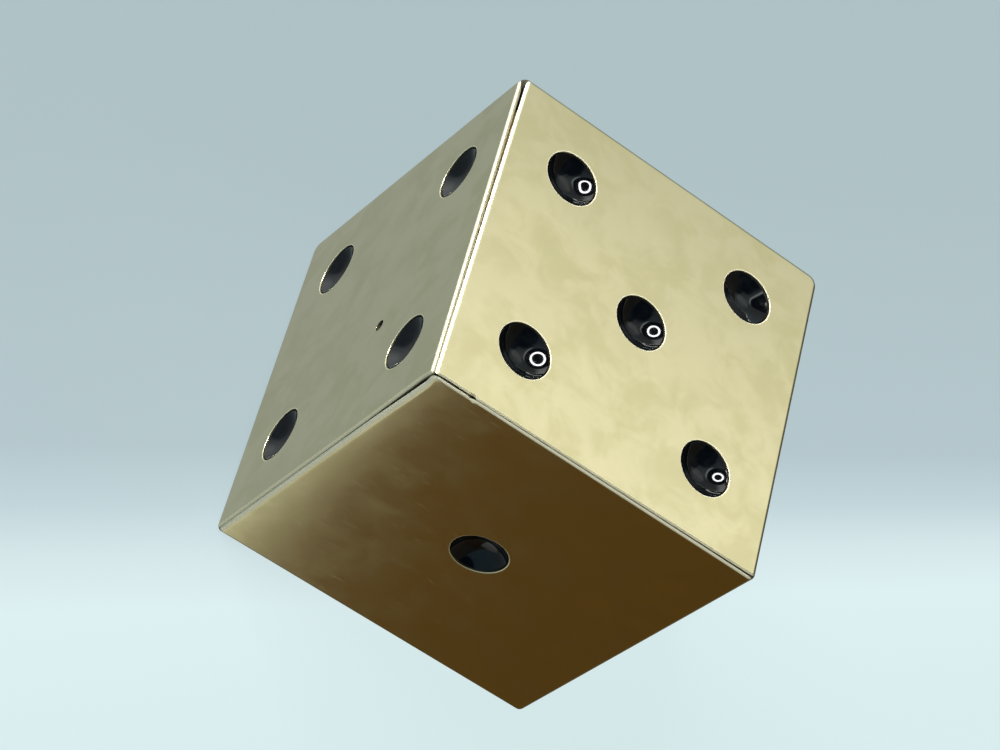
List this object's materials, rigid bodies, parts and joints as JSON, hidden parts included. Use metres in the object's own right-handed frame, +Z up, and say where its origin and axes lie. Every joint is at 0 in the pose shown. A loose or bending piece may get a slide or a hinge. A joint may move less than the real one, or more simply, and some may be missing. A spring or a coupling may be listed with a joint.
{
  "type": "brass die",
  "caption": "Hollow polished brass die: six mitred sheet plates with rounded rims on inner corner angles, dished glossy black pips.",
  "frame": {"origin": "middle of the die's underside, the outer face of its two-pip plate, which rests on the table", "axes": "+Z up through the five-pip face, -Y out of the one-pip face, -X out of the four-pip face"},
  "size_m": [0.05, 0.05, 0.05],
  "materials": {
    "polished_brass": "polished pale brass with fine marks",
    "inner_brass": "dull brass, unpolished",
    "black_enamel": "glossy black enamel"
  },
  "bodies": {
    "root": {"face_plate_1": "polished_brass", "face_plate_2": "polished_brass", "face_plate_3": "polished_brass", "face_plate_4": "polished_brass", "face_plate_5": "polished_brass", "face_plate_6": "polished_brass", "pip_1_1": "black_enamel", "pip_2_1": "black_enamel", "pip_2_2": "black_enamel", "pip_3_1": "black_enamel", "pip_3_2": "black_enamel", "pip_3_3": "black_enamel", "pip_4_1": "black_enamel", "pip_4_2": "black_enamel", "pip_4_3": "black_enamel", "pip_4_4": "black_enamel", "pip_5_1": "black_enamel", "pip_5_2": "black_enamel", "pip_5_3": "black_enamel", "pip_5_4": "black_enamel", "pip_5_5": "black_enamel", "pip_6_1": "black_enamel", "pip_6_2": "black_enamel", "pip_6_3": "black_enamel", "pip_6_4": "black_enamel", "pip_6_5": "black_enamel", "pip_6_6": "black_enamel", "edge_angle_1_2": "inner_brass", "edge_angle_1_3": "inner_brass", "edge_angle_1_4": "inner_brass", "edge_angle_1_5": "inner_brass", "edge_angle_2_3": "inner_brass", "edge_angle_2_4": "inner_brass", "edge_angle_2_6": "inner_brass", "edge_angle_3_5": "inner_brass", "edge_angle_3_6": "inner_brass", "edge_angle_4_5": "inner_brass", "edge_angle_4_6": "inner_brass", "edge_angle_5_6": "inner_brass"}
  },
  "joints": []
}
